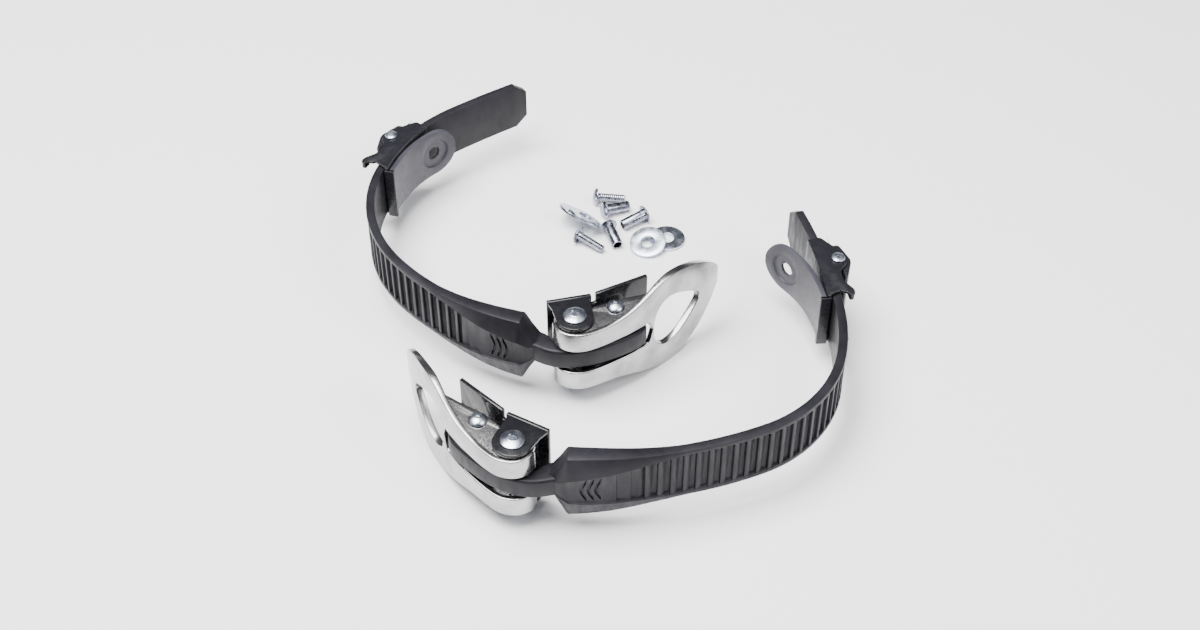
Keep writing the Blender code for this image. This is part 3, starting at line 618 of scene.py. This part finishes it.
def adjuster_frame(line, adjust):
    stations = spread(adjust + FRAME_FRONT, adjust + FRAME_BACK, 2.0)
    floor = ribbon(line, stations, lambda s: FRAME_WALL_Z[1] - 0.1, *FRAME_FLOOR)
    floor = rounded(floor, 0.3, 40.0, 2)
    outline = [tuple(adjuster_point(line, adjust, a, n)) for a, n in FRAME_WALL]
    outline = corner_rounded(outline, 1.4)
    foot = [line.at(adjust + a, -1.3) for a in spread(-21.5, 12.5, 2.0)]
    shells = [floor]
    for z0, z1 in (FRAME_WALL_Z, (-FRAME_WALL_Z[1], -FRAME_WALL_Z[0])):
        shells.append(rounded(prism(foot + outline, z0, z1), 0.3, 40.0, 2))
    front = adjust + FRAME_FRONT
    lip = corner_rounded([line.at(front + a, n) for a, n in LIP], 0.4)
    shells.append(rounded(prism(lip, -LIP_HALF, LIP_HALF), 0.3, 40.0, 2))
    hook = corner_rounded([adjuster_point(line, adjust, a, n) for a, n in HOOK], 0.9)
    for z in (HOOK_Z, -HOOK_Z):
        shells.append(rounded(prism(hook, z - HOOK_HALF, z + HOOK_HALF), 0.25, 40.0, 2))
    return merged(*shells)


def adjuster_lever(line, adjust):
    outline = corner_rounded([adjuster_point(line, adjust, a, n) for a, n in FINGER], 0.7)
    body = prism(outline, -FINGER_HALF, FINGER_HALF)
    corners = []
    for sign in (1, -1):
        def wedge(a, z):
            low, high = (adjuster_point(line, adjust, a, n) for n in FINGER_CUT)
            return [(low.x, low.y, sign * z), (high.x, high.y, sign * z),
                    (high.x, high.y, sign * FINGER_CUT_Z), (low.x, low.y, sign * FINGER_CUT_Z)]

        rings = []
        for k in range(9):
            t = math.radians(90.0 * k / 8)
            rings.append(wedge(FINGER_CORNER_FROM + FINGER_CORNER * math.sin(t),
                               FINGER_HALF + 0.05 - FINGER_CORNER * (1 - math.cos(t))))
        rings.append(wedge(FINGER_CUT_END, FINGER_HALF - FINGER_CORNER))
        corners.append(solid(rings))
    body = rounded(cut(body, *corners), 0.45, 40.0, 3)
    hub = at_point(cylinder(HUB_RADIUS, -FINGER_HALF + 0.05, FINGER_HALF - 0.05),
                   *adjuster_point(line, adjust, 0, PIVOT_OUT))
    return merged(body, hub)


def anchor_strap(line, adjust):
    start = adjust + FRAME_FRONT + 0.4
    way = line.heading(start)
    first = line.at(start, FRAME_FLOOR[0] - 0.25 - TAB_THICK / 2)
    tab = Line(arcs(first, math.degrees(math.atan2(way.y, way.x)) - 1.5,
                    (TAB_ROOT, (TAB_LENGTH - TAB_ROOT[0], TAB_RADIUS))), +1)
    round_from = TAB_LENGTH - TAB_HALF

    def half(s):
        if s <= round_from:
            return TAB_HALF
        return math.sqrt(max(TAB_HALF ** 2 - (s - round_from) ** 2, 0.1))

    stations = spread(0.0, round_from, 1.2)[:-1]
    stations += [round_from + TAB_HALF * math.sin(math.radians(a)) for a in range(0, 90, 5)]
    body = ribbon(tab, stations, half, -TAB_THICK / 2, TAB_THICK / 2)
    spot, way = tab.on(round_from), tab.heading(round_from)
    inwards = (way.y, -way.x)
    hole = along(cylinder(TAB_HOLE, -6, 6, 64), spot, inwards)
    dish = along(lathe(TAB_DISH, 64), spot, inwards)
    return rounded(cut(body, dish, hole), 0.3, 45.0, 2)


# ---- loose fixings ---------------------------------------------------------------------
def washer():
    outer, inner, half = WASHER["outer"], WASHER["inner"], WASHER["thick"] / 2
    ease = WASHER_EASE
    profile = []
    corners = ((outer, half, 0), (inner, half, 90), (inner, -half, 180), (outer, -half, 270))
    for r, z, a0 in corners:
        sr = -1 if r == outer else 1
        sz = -1 if z > 0 else 1
        for k in range(4):
            a = math.radians(a0 + 30 * k)
            profile.append((r + sr * ease + ease * math.cos(a),
                            z + sz * ease + ease * math.sin(a)))
    rings = []
    for k in range(64):
        a = 2 * math.pi * k / 64
        rings.append([(r * math.cos(a), r * math.sin(a), z) for r, z in profile])
    return solid(rings, caps=False, closed=True)


def screw():
    r, head, length = SCREW["radius"], SCREW["head"], SCREW["length"]
    profile = [*SCREW_DOME, (head, -0.3), (head, -0.1), (head - 0.1, 0), (r + 0.1, 0), (r, 0.15)]
    pitch = (length - THREAD_SHORT) / SCREW_TURNS
    for k in range(SCREW_TURNS):
        z = THREAD_FROM + (length - THREAD_SHORT) * k / SCREW_TURNS
        profile += [(r, z), (r - THREAD_DEEP, z + pitch * 0.4), (r, z + pitch * 0.8)]
    profile += [(r, length - 0.6), (r - 0.5, length), (0, length)]
    return lathe(profile, 40)


def sleeve():
    r, head, length, bore = SLEEVE["radius"], SLEEVE["head"], SLEEVE["length"], SLEEVE["bore"]
    return lathe([*SLEEVE_DOME, (head, -0.4), (head, -0.1), (head - 0.1, 0), (r + 0.12, 0),
                  (r, 0.15), (r, length - 0.4), (r - 0.1, length - 0.1), (r - 0.3, length),
                  (bore + 0.1, length), (bore, length - 0.15), (bore, 1.5), (0, 1.5)], 48)


# ---- materials ------------------------------------------------------------------------
def material(name, colour, roughness, metallic=0.0):
    made = bpy.data.materials.new(name)
    made.use_nodes = True
    shader = made.node_tree.nodes["Principled BSDF"]
    shader.inputs["Base Color"].default_value = (*colour, 1.0)
    shader.inputs["Roughness"].default_value = roughness
    shader.inputs["Metallic"].default_value = metallic
    if not metallic:
        shader.inputs["Specular IOR Level"].default_value = 0.3
    return made, made.node_tree, shader


def noise(tree, scale, detail=4.0, stretch=(1, 1, 1)):
    """Noise in the object's own metres."""
    coords = tree.nodes.new("ShaderNodeTexCoord")
    mapping = tree.nodes.new("ShaderNodeMapping")
    mapping.inputs["Scale"].default_value = stretch
    made = tree.nodes.new("ShaderNodeTexNoise")
    made.inputs["Scale"].default_value = scale
    made.inputs["Detail"].default_value = detail
    tree.links.new(coords.outputs["Object"], mapping.inputs["Vector"])
    tree.links.new(mapping.outputs["Vector"], made.inputs["Vector"])
    return made.outputs["Fac"]


def ranged(tree, value, low, high, start=0.35, end=0.65):
    """A factor stretched to a range of values."""
    made = tree.nodes.new("ShaderNodeMapRange")
    for socket, number in (("From Min", start), ("From Max", end),
                           ("To Min", low), ("To Max", high)):
        made.inputs[socket].default_value = number
    tree.links.new(value, made.inputs["Value"])
    return made.outputs["Result"]


def mixed(tree, value, first, second):
    made = tree.nodes.new("ShaderNodeMix")
    made.data_type = "RGBA"
    made.inputs["A"].default_value = (*first, 1.0)
    made.inputs["B"].default_value = (*second, 1.0)
    tree.links.new(value, made.inputs["Factor"])
    return made.outputs["Result"]


def bump(tree, shader, height, strength, distance):
    made = tree.nodes.new("ShaderNodeBump")
    made.inputs["Strength"].default_value = strength
    made.inputs["Distance"].default_value = distance
    tree.links.new(height, made.inputs["Height"])
    tree.links.new(made.outputs["Normal"], shader.inputs["Normal"])


def tint(tree, shader, value, first, second):
    """Base colour that drifts between two colours."""
    tree.links.new(mixed(tree, ranged(tree, value, 0.0, 1.0), first, second),
                   shader.inputs["Base Color"])


def moulded_plastic():
    """Charcoal nylon: fine moulded grain, cloudy sheen, faint scuffs."""
    made, tree, shader = material("moulded_plastic", (0.03, 0.029, 0.033), 0.42)
    clouds = noise(tree, 55.0, 5.0)
    scuffs = noise(tree, 420.0, 6.0, (1.0, 1.0, 0.25))
    tint(tree, shader, clouds, (0.009, 0.0085, 0.011), (0.018, 0.017, 0.022))
    tree.links.new(ranged(tree, scuffs, 0.34, 0.50), shader.inputs["Roughness"])
    bump(tree, shader, noise(tree, 2600.0, 3.0), 0.25, 0.00006)
    shader.inputs["Specular IOR Level"].default_value = 0.2
    return made


def sheen_painted_plastic():
    """The anchor strap: the same nylon made smoother, with its sheen painted in as a lighter, greyer base colour.
    """
    made, tree, shader = material("sheen_painted_plastic", (0.05, 0.048, 0.06), 0.32)
    clouds = noise(tree, 40.0, 5.0)
    # painted sheen: a base colour several times lighter than the strap nylon's, standing in for reflected light
    tint(tree, shader, clouds, (0.036, 0.034, 0.044), (0.060, 0.058, 0.072))
    tree.links.new(ranged(tree, noise(tree, 500.0, 5.0), 0.28, 0.40), shader.inputs["Roughness"])
    bump(tree, shader, noise(tree, 2600.0, 3.0), 0.15, 0.00004)
    return made


def tumbled_steel():
    """Bright steel: soft grey clouds under a very fine grain."""
    made, tree, shader = material("tumbled_steel", (0.55, 0.54, 0.54), 0.3, 1.0)
    clouds = noise(tree, 90.0, 6.0)
    fine = noise(tree, 1500.0, 5.0)
    tint(tree, shader, clouds, (0.32, 0.315, 0.32), (0.50, 0.49, 0.49))
    tree.links.new(ranged(tree, fine, 0.17, 0.27), shader.inputs["Roughness"])
    bump(tree, shader, fine, 0.10, 0.00001)
    return made


def gloss_black():
    """Black enamel on steel: a slight orange peel."""
    made, tree, shader = material("gloss_black", (0.008, 0.008, 0.010), 0.16)
    tree.links.new(ranged(tree, noise(tree, 300.0), 0.20, 0.34), shader.inputs["Roughness"])
    shader.inputs["Coat Weight"].default_value = 0.4
    shader.inputs["Coat Roughness"].default_value = 0.08
    bump(tree, shader, noise(tree, 700.0, 2.0), 0.12, 0.0001)
    return made


def black_nylon():
    """The adjuster's blacker, glossier moulding."""
    made, tree, shader = material("black_nylon", (0.012, 0.012, 0.015), 0.28)
    tree.links.new(ranged(tree, noise(tree, 260.0, 5.0), 0.20, 0.38), shader.inputs["Roughness"])
    bump(tree, shader, noise(tree, 1800.0, 3.0), 0.2, 0.00006)
    return made


def zinc_plate():
    """Bluish bright zinc with a crystalline mottle."""
    made, tree, shader = material("zinc_plate", (0.66, 0.70, 0.76), 0.24, 1.0)
    mottle = noise(tree, 300.0, 4.0)
    tint(tree, shader, mottle, (0.42, 0.46, 0.53), (0.58, 0.62, 0.69))
    tree.links.new(ranged(tree, mottle, 0.22, 0.34), shader.inputs["Roughness"])
    bump(tree, shader, noise(tree, 1600.0, 3.0), 0.06, 0.00001)
    return made


def dark_steel():
    """Barrels and screws: dark plated steel."""
    made, tree, shader = material("dark_plate", (0.30, 0.31, 0.36), 0.26, 1.0)
    mottle = noise(tree, 500.0, 5.0)
    tint(tree, shader, mottle, (0.20, 0.21, 0.26), (0.42, 0.43, 0.50))
    tree.links.new(ranged(tree, mottle, 0.18, 0.34), shader.inputs["Roughness"])
    return made


LOOKS = {
    "strap_black": moulded_plastic(),
    "lever_steel": tumbled_steel(),
    "base_black": gloss_black(),
    "adjuster_black": black_nylon(),
    "zinc": zinc_plate(),
    "dark_steel": dark_steel(),
}
# the anchor strap's look: the same nylon with a painted sheen in its base colour
ANCHOR_PAINTED_SHEEN_LOOK = sheen_painted_plastic()
NODE_SLOT = {entry["node"]: entry["material_slot"] for entry in frame["record"]["subparts"]}
NODE_BODY = {node: body for body, nodes in frame["record"]["behaviour"]["bodies"].items()
             for node in nodes}


def place_piece(node, mesh, matrix):
    """Puts a fine mesh in place of a CAD node, riding the node's body."""
    mesh.transform(matrix)
    mesh.materials.clear()
    mesh.materials.append(ANCHOR_PAINTED_SHEEN_LOOK if node.endswith("anchor_strap") else LOOKS[NODE_SLOT[node]])
    mesh.shade_smooth()
    mesh.set_sharp_from_angle(angle=math.radians(SHARP_ANGLE))
    piece = bpy.data.objects.new("fine_" + node, mesh)
    bpy.context.scene.collection.objects.link(piece)
    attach(piece, NODE_BODY[node])
    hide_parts(node)


def stand_of(name):
    """Where one strap's drawing lies, from its two buckle hinges."""
    base = Vector(JOINTS[name + "_base_hinge"]["pos_m"])
    knuckle = Vector(JOINTS[name + "_lever_hinge"]["pos_m"]) - base
    flip = name == "right"
    own = Vector(STRAP_PIN_AT)
    drawn = math.atan2(own.y, -own.x if flip else own.x)
    turn = math.atan2(knuckle.y, knuckle.x) - drawn
    return (Matrix.Translation(base) @ Matrix.Rotation(turn, 4, "Z")
            @ Matrix.Rotation(math.pi if flip else 0.0, 4, "Y"))


def dress_strap(name, side):
    stand = stand_of(name)
    line = Line(arcs(STRAP_START, side["heading"], side["arcs"]), +1)
    adjust = side["adjust"]
    pivot = adjuster_point(line, adjust, 0, PIVOT_OUT)
    top = ADJUST_PIN["z"] + ADJUST_PIN["rim"] + ADJUST_PIN["dome"]
    over = Matrix.Rotation(math.pi, 4, "X")
    screw_head = cross(pin(over=False, **ADJUST_PIN), top, CROSS_SIZE, CROSS_DEEP)
    screw_back = cross(moved(pin(over=True, **ADJUST_PIN), over), top, CROSS_SIZE, CROSS_DEEP)
    screw_back = moved(screw_back, over)
    pieces = {
        "ladder_strap": ladder_strap(line),
        "lever": lever(),
        "buckle_base": buckle_base(),
        "base_pin": pin(over=False, **BASE_PIN),
        "base_pin_screw": pin(over=True, **BASE_PIN),
        "strap_pin": at_point(pin(over=False, **STRAP_PIN), *STRAP_PIN_AT),
        "strap_pin_screw": at_point(pin(over=True, **STRAP_PIN), *STRAP_PIN_AT),
        "adjuster_frame": adjuster_frame(line, adjust),
        "adjuster_lever": adjuster_lever(line, adjust),
        "adjuster_pin": at_point(screw_head, *pivot),
        "adjuster_pin_screw": at_point(screw_back, *pivot),
        "anchor_strap": anchor_strap(line, adjust),
    }
    for piece, mesh in pieces.items():
        place_piece("%s_%s" % (name, piece), mesh, stand)


def world_points(obj):
    points = [obj.matrix_world @ v.co for v in obj.data.vertices]
    return points, sum(points, Vector()) / len(points)


def upright(middle, axis):
    """Matrix that stands a Z-aligned mesh at a point, along an axis."""
    return Matrix.Translation(middle) @ axis.to_track_quat("Z", "Y").to_matrix().to_4x4()


def washer_stand(obj):
    """Where a washer's CAD node lies: its largest faces are its flats."""
    normals = [(obj.matrix_world.to_3x3() @ p.normal, p.area) for p in obj.data.polygons]
    biggest = max(normals, key=lambda n: n[1])[0].normalized()
    axis = sum(((n if n.dot(biggest) > 0 else -n) * a for n, a in normals
                if abs(n.dot(biggest)) > 0.98), Vector()).normalized()
    return upright(world_points(obj)[1], axis)


def shank_stand(obj):
    """Where a screw's or sleeve nut's CAD node lies: under its head, along its shank."""
    points, centre = world_points(obj)
    inertia = Matrix([[sum((p - centre)[i] * (p - centre)[j] for p in points)
                       for j in range(3)] for i in range(3)])
    axis = Vector((1.0, 0.3, 0.1))
    for _ in range(60):
        axis = (inertia @ axis).normalized()
    along_axis = [(p - centre).dot(axis) for p in points]
    wide = [((p - centre) - axis * t).length for p, t in zip(points, along_axis)]
    if along_axis[wide.index(max(wide))] > 0:
        axis, along_axis = -axis, [-t for t in along_axis]
    rim = max(wide)
    under = max(t for t, w in zip(along_axis, wide) if w > rim - 0.0009)
    return upright(centre + axis * under, axis)


def dress_loose():
    """The fixings keep their CAD nodes' places."""
    for node, obj in frame["nodes"].items():
        if node.startswith("washer"):
            place_piece(node, washer(), washer_stand(obj))
        elif node.startswith("loose_screw"):
            place_piece(node, screw(), shank_stand(obj))
        elif node.startswith("sleeve_nut"):
            place_piece(node, sleeve(), shank_stand(obj))


# ---- stage ----------------------------------------------------------------------------
def build_stage():
    mesh = bpy.data.meshes.new("floor")
    w = FLOOR_HALF
    mesh.from_pydata([(-w, -w, 0), (w, -w, 0), (w, w, 0), (-w, w, 0)], [], [(0, 1, 2, 3)])
    floor = bpy.data.objects.new("floor", mesh)
    bpy.context.scene.collection.objects.link(floor)
    floor.location.z = cad_box[0][2] - FLOOR_GAP
    mesh.materials.append(material("pale_floor", (0.95, 0.95, 0.96), 0.75)[0])

    world = bpy.data.worlds.new("studio")
    bpy.context.scene.world = world
    world.use_nodes = True
    tree = world.node_tree
    coords = tree.nodes.new("ShaderNodeTexCoord")
    parts = tree.nodes.new("ShaderNodeSeparateXYZ")
    tree.links.new(coords.outputs["Generated"], parts.inputs["Vector"])
    sky = ranged(tree, parts.outputs["Z"], 0.0, 1.0, SKY_FROM, SKY_TO)
    tree.links.new(mixed(tree, sky, SKY_SIDES, SKY_TOP),
                   tree.nodes["Background"].inputs["Color"])
    tree.nodes["Background"].inputs["Strength"].default_value = SKY_STRENGTH
    for name, place, size, power in LAMPS:
        light = bpy.data.lights.new(name, "AREA")
        light.size, light.energy = size, power
        lamp = bpy.data.objects.new(name, light)
        lamp.location = place
        lamp.rotation_euler = (-Vector(place)).to_track_quat("-Z", "Y").to_euler()
        bpy.context.scene.collection.objects.link(lamp)


def build_camera():
    data = bpy.data.cameras.new("camera")
    data.lens, data.sensor_width = CAMERA_LENS, SENSOR_WIDTH
    camera = bpy.data.objects.new("camera", data)
    tilt = math.radians(CAMERA_ELEVATION)
    camera.location = LOOK_AT + CAMERA_DISTANCE * Vector((0, -math.cos(tilt), math.sin(tilt)))
    camera.rotation_euler = (math.radians(90.0) - tilt, 0.0, 0.0)
    bpy.context.scene.collection.objects.link(camera)
    bpy.context.scene.camera = camera


for side_name, side_sizes in SIDES.items():
    dress_strap(side_name, side_sizes)
dress_loose()
build_stage()
build_camera()

bpy.context.view_layer.update()
